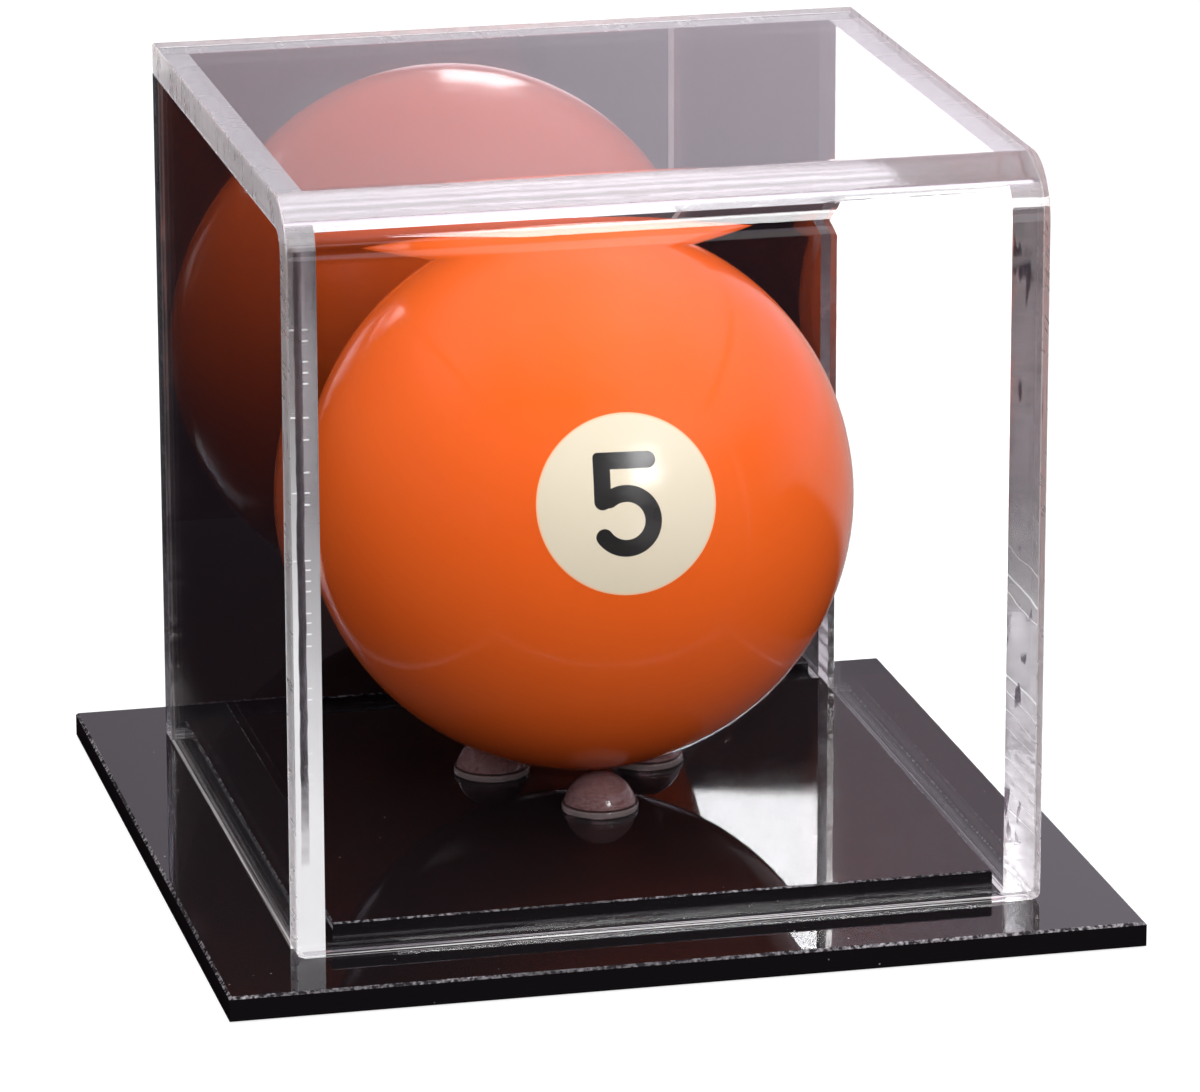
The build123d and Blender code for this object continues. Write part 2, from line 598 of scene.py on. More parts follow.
@dataclass(frozen=True)
class HazedJointFinish(JoinedFinish):
    """Front left joint, white at its foot, with a dark seam and short bright ticks above."""

    name: str = "clear_acrylic_joined_hazed"
    seam: Pair = (0.0, 0.0)
    seam_colour: Colour = (0.3, 0.28, 0.31)
    seam_fade: float = 0.12 * MM
    seam_rise: Pair = (15 * MM, 24 * MM)
    outer_rise: Pair = (30 * MM, 58 * MM)
    inner_rise: Pair = (14 * MM, 46 * MM)
    joint_end: Pair = (60 * MM, 68 * MM)
    seam_haze: Pair = (0.97, 0.02)
    outer_haze: Pair = (0.97, 0.12)
    inner_haze: Pair = (0.97, 0.16)
    wander_scale: Pair = (260.0, 60.0)
    wander_across: float = 0.3 * MM
    wander_along: float = 12 * MM
    tick_pitch: float = 1.1 * MM
    tick_width: float = 0.15
    tick_jitter: float = 0.8
    tick_haze: float = 0.95
    tick_rarity: Pair = (0.75, 0.4)
    tick_outside: Pair = (-0.7 * MM, -0.5 * MM)
    tick_inside: Pair = (0.4 * MM, 0.6 * MM)

    def milkiness(self, board: SurfaceBoard, edge: Socket, marks: Socket) -> Socket:
        """Lets the joint grow milky towards its foot on both sides of the seam.

        Args:
            board: The material's node board.
            edge: The edge coordinates' socket.
            marks: The blade marks' socket, which is not used.

        Returns:
            The milkiness's socket.
        """
        along, across, _ = board.axes(edge)
        start, end = self.seam
        wander = board.grain(edge, self.wander_scale)
        shifted = board.value("MULTIPLY_ADD", wander, self.wander_across, across)
        outer = board.remap(shifted, (start, start + self.seam_fade), (1.0, 0.0))
        inner = board.remap(shifted, (end, end + self.seam_fade))
        beside = board.value(
            "MAXIMUM",
            board.product(outer, board.remap(along, self.outer_rise, self.outer_haze)),
            board.product(inner, board.remap(along, self.inner_rise, self.inner_haze)),
        )
        uneven = board.value("MULTIPLY_ADD", wander, self.wander_along, along)
        foot = board.remap(uneven, self.seam_rise, self.seam_haze)
        cloud = board.value("MAXIMUM", beside, foot)
        between = board.value("SUBTRACT", 1.0, board.value("MAXIMUM", outer, inner))
        dark = board.product(between, board.remap(uneven, self.seam_rise))
        board.feed("Base Color", board.blend(dark, self.tint, self.seam_colour))
        ticks = self.ticks(board, along, across, wander, (outer, inner))
        milky = board.value("MAXIMUM", cloud, ticks)
        return board.product(milky, board.remap(along, self.joint_end, (1.0, 0.0)))

    def ticks(
        self,
        board: SurfaceBoard,
        along: Socket,
        across: Socket,
        wander: Socket,
        sides: tuple[Socket, Socket],
    ) -> Socket:
        """Marks short level ticks at uneven steps beside the seam.

        Args:
            board: The material's node board.
            along: The place along the edge.
            across: The place across the edge.
            wander: The pattern that makes the steps uneven.
            sides: Sockets that are 1 outside and inside the seam.

        Returns:
            A socket that is high in the ticks.
        """
        start, end = self.seam
        turns = board.value("DIVIDE", along, self.tick_pitch)
        turns = board.value("MULTIPLY_ADD", wander, self.tick_jitter, turns)
        chance = board.chance(turns)
        thin = board.value("LESS_THAN", board.value("FRACT", turns), self.tick_width)
        outside = tuple(start + place for place in self.tick_outside)
        inside = tuple(end + place for place in self.tick_inside)
        outer = board.remap(across, outside, (0.0, self.tick_haze))
        inner = board.remap(across, inside, (self.tick_haze, 0.0))
        drawn = [board.value("GREATER_THAN", chance, rarity) for rarity in self.tick_rarity]
        outer = board.product(sides[0], outer, drawn[0])
        inner = board.product(sides[1], inner, drawn[1])
        return board.product(thin, board.value("MAXIMUM", outer, inner))


@dataclass(frozen=True)
class SilverFinish:
    """Silvered layer seen through the mirror's clear sheet."""

    name: str = "mirror_silver"
    colour: Colour = (0.86, 0.855, 0.87)

    def material(self) -> Material:
        """Builds the material.

        Returns:
            The new material.
        """
        board = SurfaceBoard(self.name)
        board.constant(Metallic=1.0, Roughness=0.0)
        patches = board.noise(40.0)
        shade = tuple(0.985 * c for c in self.colour)
        board.feed("Base Color", board.blend(patches, self.colour, shade))
        return board.material


@dataclass(frozen=True)
class PaintFinish:
    """Dark protective paint on the back of the mirror."""

    name: str = "mirror_back_paint"
    colour: Colour = (0.018, 0.018, 0.02)
    worn: Colour = (0.034, 0.034, 0.037)

    def material(self) -> Material:
        """Builds the material.

        Returns:
            The new material.
        """
        board = SurfaceBoard(self.name)
        patches = board.noise(120.0, detail=4.0)
        board.feed("Base Color", board.blend(patches, self.colour, self.worn))
        board.feed("Roughness", board.remap(patches, (0.3, 0.7), (0.38, 0.55)))
        board.bump(board.noise(900.0, detail=3.0), depth=0.00003, strength=0.5)
        return board.material


@dataclass(frozen=True)
class BallFinish:
    """Cast and polished resin of the ball."""

    name: str
    colour: Colour
    deeper: Colour
    roughness: Pair = (0.12, 0.17)
    refraction: float = 1.5

    def material(self) -> Material:
        """Builds the material.

        Returns:
            The new material.
        """
        board = self.board()
        board.feed("Base Color", self.cast_colour(board))
        return board.material

    def board(self) -> SurfaceBoard:
        """Starts the material with its gloss and rub marks.

        Returns:
            Its node board.
        """
        board = SurfaceBoard(self.name)
        board.constant(IOR=self.refraction)
        rub = board.remap(board.noise(320.0, detail=3.0), (0.35, 0.75), self.roughness)
        pits = board.specks(scale=700.0, size=0.07, rarity=0.8)
        board.feed("Roughness", board.value("MULTIPLY_ADD", pits, 0.3, rub))
        return board

    def cast_colour(self, board: SurfaceBoard) -> Socket:
        """Clouds the resin's colour a little."""
        clouds = board.remap(board.noise(45.0, detail=3.0), (0.3, 0.7))
        return board.blend(clouds, self.colour, self.deeper)


@dataclass(frozen=True)
class DiscFinish(BallFinish):
    """Ivory inlay, stained by the ball's colour along its rim."""

    centre: Point = (0.0, 0.0, 0.0)
    pole: Point = (0.0, -1.0, 0.0)
    rim: float = 9.15 * MM
    stain: Colour = (0.93, 0.5, 0.27)
    stain_reach: Pair = (0.28 * MM, 0.05 * MM)
    stain_share: float = 0.8

    def material(self) -> Material:
        """Builds the material.

        Returns:
            The new material.
        """
        board = self.board()
        ivory = self.cast_colour(board)
        arm = board.vector("SUBTRACT", board.place, self.centre)
        away = board.vector("LENGTH", board.vector("CROSS_PRODUCT", arm, self.pole))
        reach = tuple(self.rim - width for width in self.stain_reach)
        rim = board.remap(away, reach, (0.0, self.stain_share))
        board.feed("Base Color", board.blend(rim, ivory, self.stain))
        return board.material


@dataclass(frozen=True)
class BumperFinish:
    """Soft clear gum of the bumpers, a little cloudy, with a paler rim under a fine groove; its
    dark reddish colour is painted shade and painted glow from the ball, and the groove's dark line
    is painted shade.
    """

    foot: float
    rim: float
    name: str = "clear_bumper_gum"
    # Dark reddish gum colours: painted shade and painted glow from the orange ball
    colour: Colour = (0.4, 0.17, 0.175)
    paler: Colour = (0.56, 0.33, 0.33)
    rim_colour: Colour = (0.48, 0.38, 0.38)
    # Painted shade along the groove
    groove_shade_colour: Colour = (0.07, 0.04, 0.04)
    rim_fade: float = 0.06 * MM
    groove_rise: float = 0.04 * MM
    groove_half: Pair = (0.11 * MM, 0.06 * MM)
    groove_shade_share: float = 0.85
    roughness: Pair = (0.1, 0.2)
    clearness: float = 0.7
    refraction: float = 1.46

    def material(self) -> Material:
        """Builds the material.

        Returns:
            The new material.
        """
        board = SurfaceBoard(self.name)
        board.constant(Transmission_Weight=self.clearness, IOR=self.refraction)
        haze = board.noise(3200.0, detail=3.0)
        height = board.value("SUBTRACT", board.axes(board.place)[2], self.foot)
        # The gum's reddish tint is painted glow from the ball and painted shade
        cloudy = board.blend(board.remap(haze, (0.35, 0.65)), self.colour, self.paler)
        on_rim = board.remap(height, (self.rim, self.rim - self.rim_fade))
        away = board.value("SUBTRACT", height, self.rim + self.groove_rise)
        away = board.value("ABSOLUTE", away)
        # The groove's dark line is painted shade
        groove_shade = board.remap(away, self.groove_half, (0.0, self.groove_shade_share))
        rimmed = board.blend(on_rim, cloudy, self.rim_colour)
        board.feed("Base Color", board.blend(groove_shade, rimmed, self.groove_shade_colour))
        board.feed("Roughness", board.remap(haze, (0.3, 0.7), self.roughness))
        return board.material


# Mesh helpers


@dataclass
class Shell:
    """Vertices, faces, finishes and edge places, gathered before they become a mesh."""

    vertices: list[Point] = field(default_factory=list)
    faces: list[tuple[int, ...]] = field(default_factory=list)
    finishes: list[int] = field(default_factory=list)
    smooth: list[bool] = field(default_factory=list)
    places: list[Pair] = field(default_factory=list)

    def ring(self, points: list[Point]) -> list[int]:
        """Adds points.

        Args:
            points: Their places.

        Returns:
            Their numbers.
        """
        start = len(self.vertices)
        self.vertices.extend(points)
        return list(range(start, start + len(points)))

    def face(
        self,
        numbers: tuple[int, ...],
        finish: int = 0,
        shading: Shading = Shading.FLAT,
        places: tuple[Pair, ...] | None = None,
    ) -> None:
        """Adds a face.

        Args:
            numbers: Its vertices' numbers.
            finish: The number of its material slot.
            shading: How it is shaded.
            places: Each corner's place along and across the sheet's edge, in metres.
        """
        self.faces.append(numbers)
        self.finishes.append(finish)
        self.smooth.append(shading is Shading.SMOOTH)
        self.places.extend(places or ((0.0, 0.0),) * len(numbers))

    def piece(self, name: str, materials: list[Material]) -> Piece:
        """Makes a closed mesh object with outward faces.

        Args:
            name: The piece's name.
            materials: One material for each slot.

        Returns:
            The new object, at the origin.
        """
        mesh = bpy.data.meshes.new(name)
        mesh.from_pydata(self.vertices, [], self.faces)
        for material in materials:
            mesh.materials.append(material)
        mesh.polygons.foreach_set("material_index", self.finishes)
        mesh.polygons.foreach_set("use_smooth", self.smooth)
        layer = mesh.uv_layers.new(name=EDGE_PLACE)
        layer.data.foreach_set("uv", [value for place in self.places for value in place])
        mesh.update()
        turn_outwards(mesh)
        piece = bpy.data.objects.new(name, mesh)
        bpy.context.scene.collection.objects.link(piece)
        return piece


def turn_outwards(mesh: bpy.types.Mesh) -> None:
    """Recalculates normals so that they point outwards.

    Args:
        mesh: A closed mesh.
    """
    work = bmesh.new()
    work.from_mesh(mesh)
    bmesh.ops.recalc_face_normals(work, faces=work.faces[:])
    work.to_mesh(mesh)
    work.free()


@dataclass
class FlatPanel:
    """A flat sheet cut to a convex outline, with fine bevels round both faces."""

    name: str
    outline: list[Pair]
    edges: list[SheetFace]
    span: Pair
    axis: int
    bevel: float = 0.04 * MM

    def piece(self, materials: list[Material]) -> Piece:
        """Builds the panel.

        Args:
            materials: The sheet's materials in the order of SheetFace.

        Returns:
            The new piece.
        """
        shell = Shell()
        low, high = self.span
        count = len(self.outline)
        levels = (low, low + self.bevel, high - self.bevel, high)
        insets = (self.bevel, 0.0, 0.0, self.bevel)
        rings = [shell.ring(self.loop(inset, level)) for inset, level in zip(insets, levels)]
        along = [0.0]
        for i in range(count):
            along.append(along[-1] + math.dist(self.outline[i], self.outline[(i + 1) % count]))
        for k in range(len(levels) - 1):
            for i in range(count):
                j = (i + 1) % count
                shell.face(
                    (rings[k][i], rings[k][j], rings[k + 1][j], rings[k + 1][i]),
                    self.edges[i].value,
                    places=(
                        (along[i], levels[k]),
                        (along[i + 1], levels[k]),
                        (along[i + 1], levels[k + 1]),
                        (along[i], levels[k + 1]),
                    ),
                )
        shell.face(tuple(reversed(rings[0])))
        shell.face(tuple(rings[-1]))
        return shell.piece(self.name, materials)

    def loop(self, inset: float, level: float) -> list[Point]:
        """Lists the outline's corners, drawn in a little, at one level of the thickness.

        Args:
            inset: How far the corners are drawn in.
            level: The place along the thickness.

        Returns:
            The corners.
        """
        middle = [sum(p[k] for p in self.outline) / len(self.outline) for k in (0, 1)]
        half = [max(abs(p[k] - middle[k]) for p in self.outline) for k in (0, 1)]
        points = []
        for corner in self.outline:
            point = [middle[k] + (corner[k] - middle[k]) * (1 - inset / half[k]) for k in (0, 1)]
            point.insert(self.axis, level)
            points.append(tuple(point))
        return points


# Saw marks


@dataclass(frozen=True)
class SawMarks:
    """Geometry Nodes tree that works saw marks into a sheet's two cut sides."""

    half_width: float
    depth: float = 0.025 * MM
    pitch: float = 1.0 * MM
    slant: float = 0.35
    seed: float = 3.0
    detail: float = 3.0
    margin: float = 0.02 * MM
    facing: float = 0.6

    def tree(self, material: Material) -> bpy.types.NodeTree:
        """Builds the tree.

        Args:
            material: The cut sides' material.

        Returns:
            The geometry node tree.
        """
        tree = bpy.data.node_groups.new("saw_marks", "GeometryNodeTree")
        board = NodeBoard(tree)
        face = tree.interface
        face.new_socket("Geometry", in_out="INPUT", socket_type="NodeSocketGeometry")
        for label in ("Half Width", "Depth", "Pitch", "Slant", "Seed"):
            face.new_socket(label, in_out="INPUT", socket_type="NodeSocketFloat")
        face.new_socket("Geometry", in_out="OUTPUT", socket_type="NodeSocketGeometry")
        given = board.add("NodeGroupInput").outputs
        result = board.add("NodeGroupOutput")

        x, y, z = board.axes(board.add("GeometryNodeInputPosition").outputs[0])
        side = board.value("SIGN", x)
        limit = board.value("SUBTRACT", given["Half Width"], self.margin)
        on_cut = board.value("GREATER_THAN", board.value("ABSOLUTE", x), limit)
        along = board.value("MULTIPLY_ADD", y, given["Slant"], z)
        across = board.value("SUBTRACT", y, board.product(z, given["Slant"]))
        path = board.add("ShaderNodeCombineXYZ")
        board.link(board.value("DIVIDE", along, given["Pitch"]), path.inputs["X"])
        board.link(board.value("DIVIDE", across, given["Pitch"]), path.inputs["Y"])
        board.link(board.product(side, given["Seed"]), path.inputs["Z"])
        wave = board.add("ShaderNodeTexNoise")
        board.link(path.outputs[0], wave.inputs["Vector"])
        wave.inputs["Scale"].default_value = 1.0
        wave.inputs["Detail"].default_value = self.detail
        cut = board.product(wave.outputs["Fac"], given["Depth"], on_cut, side, -1.0)
        shift = board.add("ShaderNodeCombineXYZ")
        board.link(cut, shift.inputs["X"])

        move = board.add("GeometryNodeSetPosition")
        board.link(given["Geometry"], move.inputs["Geometry"])
        board.link(shift.outputs[0], move.inputs["Offset"])
        real = board.add("GeometryNodeRealizeInstances")
        board.link(move.outputs[0], real.inputs[0])
        facing = board.axes(board.add("GeometryNodeInputNormal").outputs[0])[0]
        sideways = board.value("GREATER_THAN", board.value("ABSOLUTE", facing), self.facing)
        dress = board.add("GeometryNodeSetMaterial")
        dress.inputs["Material"].default_value = material
        board.link(real.outputs[0], dress.inputs["Geometry"])
        board.link(sideways, dress.inputs["Selection"])
        board.link(dress.outputs[0], result.inputs["Geometry"])
        return tree

    def cut(self, piece: Piece, material: Material) -> None:
        """Runs the tree on a piece and keeps the result as its plain mesh.

        Args:
            piece: The piece whose sides are marked.
            material: The cut sides' material.
        """
        tree = self.tree(material)
        modifier = piece.modifiers.new("saw_marks", "NODES")
        modifier.node_group = tree
        values = {
            "Half Width": self.half_width,
            "Depth": self.depth,
            "Pitch": self.pitch,
            "Slant": self.slant,
            "Seed": self.seed,
        }
        for item in tree.interface.items_tree:
            if item.in_out == "INPUT" and item.name in values:
                modifier[item.identifier] = values[item.name]
        depsgraph = bpy.context.evaluated_depsgraph_get()
        marked = bpy.data.meshes.new_from_object(piece.evaluated_get(depsgraph))
        piece.modifiers.remove(modifier)
        plain = piece.data
        piece.data = marked
        bpy.data.meshes.remove(plain)
        marked.name = piece.name


def give_finish(node: str, material: Material) -> None:
    """Assigns a material to a CAD node's slots.

    Args:
        node: The node's name.
        material: The material.
    """
    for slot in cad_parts[node].material_slots:
        slot.material = material
    log.info("%s: finish %s", node, material.name)


# Black stand


@dataclass
class BlackStand:
    """Base plate, riser plate and the three bumpers."""

    base_chamfer: float = 0.25 * MM
    riser_chamfer: float = 0.15 * MM
    bumper_rim: float = 0.7 * MM
    bumper_inset: float = 0.24 * MM
    bumper_sink: float = 0.02 * MM
    ring_count: int = 24
    turn_count: int = 64

    def dress(self) -> None:
        """Gives the two black plates their finish, with a broken painted highlight along their
        edges.
        """
        chamfers = {"base_plate": self.base_chamfer, "riser_plate": self.riser_chamfer}
        for node, chamfer in chamfers.items():
            low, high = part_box(node)
            middle = (low + high) / 2
            finish = BlackSheetFinish(
                name=f"{node}_black_acrylic",
                middle=(middle.x, middle.y),
                half=(high.x - middle.x, high.y - middle.y),
                top=high.z,
                chamfer=chamfer,
            )
            give_finish(node, finish.material())

    def profile(self, height: float, radius: float) -> list[Pair]:
        """Lists a bumper's rim and dome from its foot to just under its top.

        Args:
            height: The bumper's whole height.
            radius: The rim's radius.

        Returns:
            Pairs of radius and height.
        """
        crown = height - self.bumper_rim
        foot = radius - self.bumper_inset
        sphere = (foot**2 + crown**2) / (2 * crown)
        half_angle = math.acos((sphere - crown) / sphere)
        points = [
            (radius - 0.06 * MM, -self.bumper_sink),
            (radius, 0.08 * MM),
            (radius, self.bumper_rim - 0.14 * MM),
            (radius - 0.05 * MM, self.bumper_rim - 0.03 * MM),
            (foot + 0.06 * MM, self.bumper_rim - 0.01 * MM),
            (foot - 0.04 * MM, self.bumper_rim - 0.09 * MM),
        ]
        for step in range(self.ring_count):
            angle = half_angle * (1 - step / self.ring_count)
            points.append((sphere * math.sin(angle), height - sphere * (1 - math.cos(angle))))
        return points

    def bumper(self, node: str, gum: Material) -> Piece:
        """Builds one bumper as a smooth dome on its rim.

        Args:
            node: The bumper's node.
            gum: Its material.

        Returns:
            The new piece.
        """
        low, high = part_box(node)
        centre = (low + high) / 2
        shell = Shell()
        turns = [2 * math.pi * k / self.turn_count for k in range(self.turn_count)]
        rings = []
        for radius, height in self.profile(high.z - low.z, (high.x - low.x) / 2):
            around = [(radius * math.cos(turn), radius * math.sin(turn)) for turn in turns]
            points = [(centre.x + x, centre.y + y, low.z + height) for x, y in around]
            rings.append(shell.ring(points))
        top = shell.ring([(centre.x, centre.y, high.z)])[0]
        for i in range(self.turn_count):
            j = (i + 1) % self.turn_count
            for first, second in zip(rings, rings[1:]):
                shell.face((first[i], first[j], second[j], second[i]), 0, Shading.SMOOTH)
            shell.face((rings[-1][i], rings[-1][j], top), 0, Shading.SMOOTH)
        shell.face(tuple(reversed(rings[0])))
        piece = shell.piece(f"{node}_dome", [gum])
        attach(piece, "base")
        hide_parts(node)
        return piece

    def build(self) -> None:
        """Dresses the plates and builds the bumpers."""
        self.dress()
        riser_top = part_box("riser_plate")[1].z
        gum = BumperFinish(foot=riser_top, rim=self.bumper_rim).material()
        for node in ("bumper_front", "bumper_rear_right", "bumper_rear_left"):
            piece = self.bumper(node, gum)
            log.info("%s: %d faces", piece.name, len(piece.data.polygons))


# Ball


@dataclass
class PoolBall:
    """Ball body, number discs and numerals."""

    number_turn: float = -2.5
    number_tilt: float = 13.7

    def finishes(self) -> dict[str, Material]:
        """Builds the ball's finishes.

        Returns:
            The material of each kind of node, by the start of the node's name.
        """
        low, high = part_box("pool_ball")
        resin = BallFinish(
            name="ball_orange_resin",
            colour=(0.89, 0.13, 0.016),
            deeper=(0.87, 0.118, 0.014),
        )
        inlay = DiscFinish(
            name="ball_ivory_resin",
            colour=(0.8, 0.71, 0.56),
            deeper=(0.77, 0.68, 0.52),
            centre=tuple((low + high) / 2),
            pole=tuple(heading(self.number_turn, self.number_tilt)),
        )
        figure = BallFinish(
            name="ball_black_resin",
            colour=(0.01, 0.01, 0.01),
            deeper=(0.022, 0.021, 0.02),
            roughness=(0.2, 0.3),
        )
        return {
            "pool_ball": resin.material(),
            "number_disc": inlay.material(),
            "numeral": figure.material(),
        }

    def build(self) -> None:
        """Gives the ball's nodes their finishes."""
        finishes = self.finishes()
        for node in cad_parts:
            for start, material in finishes.items():
                if node.startswith(start):
                    give_finish(node, material)


# Cover


@dataclass
class ClearCover:
    """Bent front and top sheet, side panels, mirror panel and its backing."""

    bend_outer: float = 6.0 * MM
    bend_inner: float = 2.0 * MM
    corner_radius: float = 0.8 * MM
    edge_bevel: float = 0.12 * MM
    flat_margin: float = 0.3 * MM
    joint_gap: float = 0.02 * MM
    bend_haze: Pair = (0.47, 1.0)
    stand_gap: float = 0.03 * MM
    seam: Pair = (1.15 * MM, 1.9 * MM)
    station_pitch: float = 0.25 * MM
    bend_steps: int = 40
    corner_steps: int = 12
    cut_rows: tuple[float, ...] = (0.2, 0.4, 0.6, 0.8)

    def __post_init__(self) -> None:
        """Reads the cover's sizes from the CAD nodes and makes its finishes."""
        self.low, self.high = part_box("cover_front_top_sheet")
        self.mirror_low, self.mirror_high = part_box("mirror_panel")
        self.sheet = self.high.z - self.mirror_high.z
        self.bottom = self.low.z + self.stand_gap
        straight = self.high.z - self.bend_outer - self.bottom
        bent = self.bend_outer * math.pi / 2
        hazy = tuple(straight + share * bent for share in self.bend_haze)
        self.materials = [
            ClearSheetFinish("clear_acrylic_polished", hazy).material(),
            SawnFinish().material(),
            GroundFinish().material(),
            CementedFinish().material(),
            JoinedFinish().material(),
        ]
        hazed = HazedJointFinish(seam=tuple(self.low.x + place for place in self.seam))
        self.hazed_materials = [*self.materials[:-1], hazed.material()]

    def stations(self) -> list[Station]:
        """Lists the bent sheet's cross-sections.

        Returns:
            The stations from the sheet's foot in front to its rear end.
        """
        bend_y = self.low.y + self.bend_outer
        bend_z = self.high.z - self.bend_outer
        heel_y = self.low.y + self.sheet + self.bend_inner
        heel_z = self.high.z - self.sheet - self.bend_inner
        found = []
        steps = self.straight_steps()
        for k in range(steps):
            share = k / steps
            height = (bend_z - self.bottom) * share
            inset = self.corner_inset(height)
            inner = (self.low.y + self.sheet, self.bottom + (heel_z - self.bottom) * share)
            found.append(Station((self.low.y, self.bottom + height), inner, height, inset))
        for k in range(self.bend_steps):
            turned = math.pi / 2 * k / self.bend_steps
            away = (-math.cos(turned), math.sin(turned))
            outer = (bend_y + self.bend_outer * away[0], bend_z + self.bend_outer * away[1])
            inner = (heel_y + self.bend_inner * away[0], heel_z + self.bend_inner * away[1])
            along = bend_z - self.bottom + self.bend_outer * turned
            found.append(Station(outer, inner, along, 0.0))
        bent = bend_z - self.bottom + self.bend_outer * math.pi / 2
        steps = round((self.high.y - bend_y) / self.station_pitch)
        for k in range(steps + 1):
            share = k / steps
            outer = (bend_y + (self.high.y - bend_y) * share, self.high.z)
            inner = (heel_y + (self.high.y - heel_y) * share, self.high.z - self.sheet)
            found.append(Station(outer, inner, bent + outer[0] - bend_y, 0.0))
        return found

    def straight_steps(self) -> int:
        """Counts the stations below the bend."""
        return round((self.high.z - self.bend_outer - self.bottom) / self.station_pitch)

    def corner_inset(self, height: float) -> float:
        """Tells how far the sheet's rounded lower corners are drawn in at a height."""
        missing = max(0.0, self.corner_radius - height)
        return self.corner_radius - math.sqrt(self.corner_radius**2 - missing**2)

    def front_top_sheet(self) -> Piece:
        """Builds the bent sheet with sawn sides.

        Returns:
            The new piece.
        """
        half = self.high.x
        bevel = self.edge_bevel
        margin = self.flat_margin
        thick = self.sheet
        depths = [0.0, bevel, *[row * thick for row in self.cut_rows], thick - bevel, thick]
        stations = self.stations()
        shell = Shell()
        rings = []
        for station in stations:
            end = station in (stations[0], stations[-1])
            side = []
            for depth in depths:
                depth = min(max(depth, bevel), thick - bevel) if end else depth
                flush = bevel <= depth <= thick - bevel and not end
                edge = half - station.inset - (0.0 if flush else bevel)
                side.append((edge, *station.at(depth / thick)))
            # Each ring runs in through the right side, left across the inner face, out through
            # the left side and back across the outer face
            (outer_x, *outer), (inner_x, *inner) = side[0], side[-1]
            ring = [*side, (inner_x - margin, *inner), (margin - inner_x, *inner)]
            ring += [(-x, y, z) for x, y, z in reversed(side)]
            ring += [(margin - outer_x, *outer), (outer_x - margin, *outer)]
            rings.append(shell.ring(ring))
        count = len(depths)
        around = 2 * count + 4
        middles = (count, 2 * count + 2)
        broads = [middle + step for middle in middles for step in (-1, 0, 1)]
        bend = range(self.straight_steps(), self.straight_steps() + self.bend_steps)
        levels = [*depths, thick, thick, *depths[::-1], 0.0, 0.0]
        for number, (first, second) in enumerate(zip(rings, rings[1:])):
            start, end = stations[number].along, stations[number + 1].along
            for i in range(around):
                j = (i + 1) % around
                broad = i in broads
                bevelled = i in (0, count - 2, count + 2, 2 * count)
                curved = number in bend and i in middles if broad else not bevelled
                shell.face(
                    (first[i], first[j], second[j], second[i]),
                    SheetFace.BROAD.value if broad else SheetFace.SAWN.value,
                    Shading.SMOOTH if curved else Shading.FLAT,
                    ((start, levels[i]), (start, levels[j]), (end, levels[j]), (end, levels[i])),
                )
        for ring, finish in ((rings[0][::-1], SheetFace.GROUND), (rings[-1], SheetFace.SAWN)):
            corners = [shell.vertices[n] for n in ring]
            places = tuple((x, y + z) for x, y, z in corners)
            shell.face(tuple(ring), finish.value, places=places)
        piece = shell.piece("bent_front_and_top_sheet", self.materials)
        SawMarks(half).cut(piece, self.materials[SheetFace.SAWN.value])
        return self.fitted(piece, "cover_front_top_sheet", "clear_acrylic")

    def side_panel(self, side: Side) -> Piece:
        """Builds a side panel with its rounded upper front corner.

        Args:
            side: Which side of the cover.

        Returns:
            The new piece.
        """
        node = f"cover_{side.value}_panel"
        low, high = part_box(node)
        gap = self.joint_gap
        y0, y1 = low.y + gap, high.y - gap
        z0, z1 = self.bottom, high.z - gap
        radius = self.bend_inner + gap
        outline = [(y0, z0)]
        for k in range(self.corner_steps + 1):
            turned = math.pi / 2 * k / self.corner_steps
            y, z = y0 + radius * (1 - math.cos(turned)), z1 - radius * (1 - math.sin(turned))
            outline.append((y, z))
        outline += [(y1, z1), (y1, z0)]
        top = [SheetFace.CEMENTED] * (len(outline) - 3)
        edges = [SheetFace.JOINED, *top, SheetFace.JOINED, SheetFace.GROUND]
        panel = FlatPanel(f"{side.value}_side_panel", outline, edges, (low.x, high.x), 0)
        materials = self.hazed_materials if side is Side.LEFT else self.materials
        return self.fitted(panel.piece(materials), node, "clear_acrylic")

    def mirror(self) -> list[Piece]:
        """Builds the mirror's clear sheet and the silvered and painted layer behind it.

        Returns:
            The two new pieces.
        """
        low, high = self.mirror_low, self.mirror_high
        gap = self.joint_gap
        z0, z1 = self.bottom, high.z - gap
        corners = [(low.x, z0), (high.x, z0), (high.x, z1), (low.x, z1)]
        edges = [SheetFace.GROUND, SheetFace.JOINED, SheetFace.CEMENTED, SheetFace.JOINED]
        clear = FlatPanel("mirror_clear_sheet", corners, edges, (low.y, high.y), 1)
        back_low, back_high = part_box("mirror_backing")
        x0, x1 = back_low.x + gap, back_high.x - gap
        corners = [(x0, z0), (x1, z0), (x1, back_high.z), (x0, back_high.z)]
        shell = Shell()
        front = shell.ring([(x, back_low.y - gap, z) for x, z in corners])
        back = shell.ring([(x, back_high.y, z) for x, z in corners])
        shell.face(tuple(front), 0)
        shell.face(tuple(reversed(back)), 1)
        for i in range(4):
            j = (i + 1) % 4
            shell.face((front[i], front[j], back[j], back[i]), 1)
        finishes = [SilverFinish().material(), PaintFinish().material()]
        layer = shell.piece("mirror_silver_and_paint", finishes)
        return [
            self.fitted(clear.piece(self.materials), "mirror_panel", "clear_acrylic"),
            self.fitted(layer, "mirror_backing", "mirror"),
        ]

    def fitted(self, piece: Piece, node: str, slot: str) -> Piece:
        """Seats a piece on the cover's body in place of its CAD node.

        Args:
            piece: The piece.
            node: The CAD node that it stands for.
            slot: The record's material slot.

        Returns:
            The same piece.
        """
        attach(piece, "cover")
        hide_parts(node)
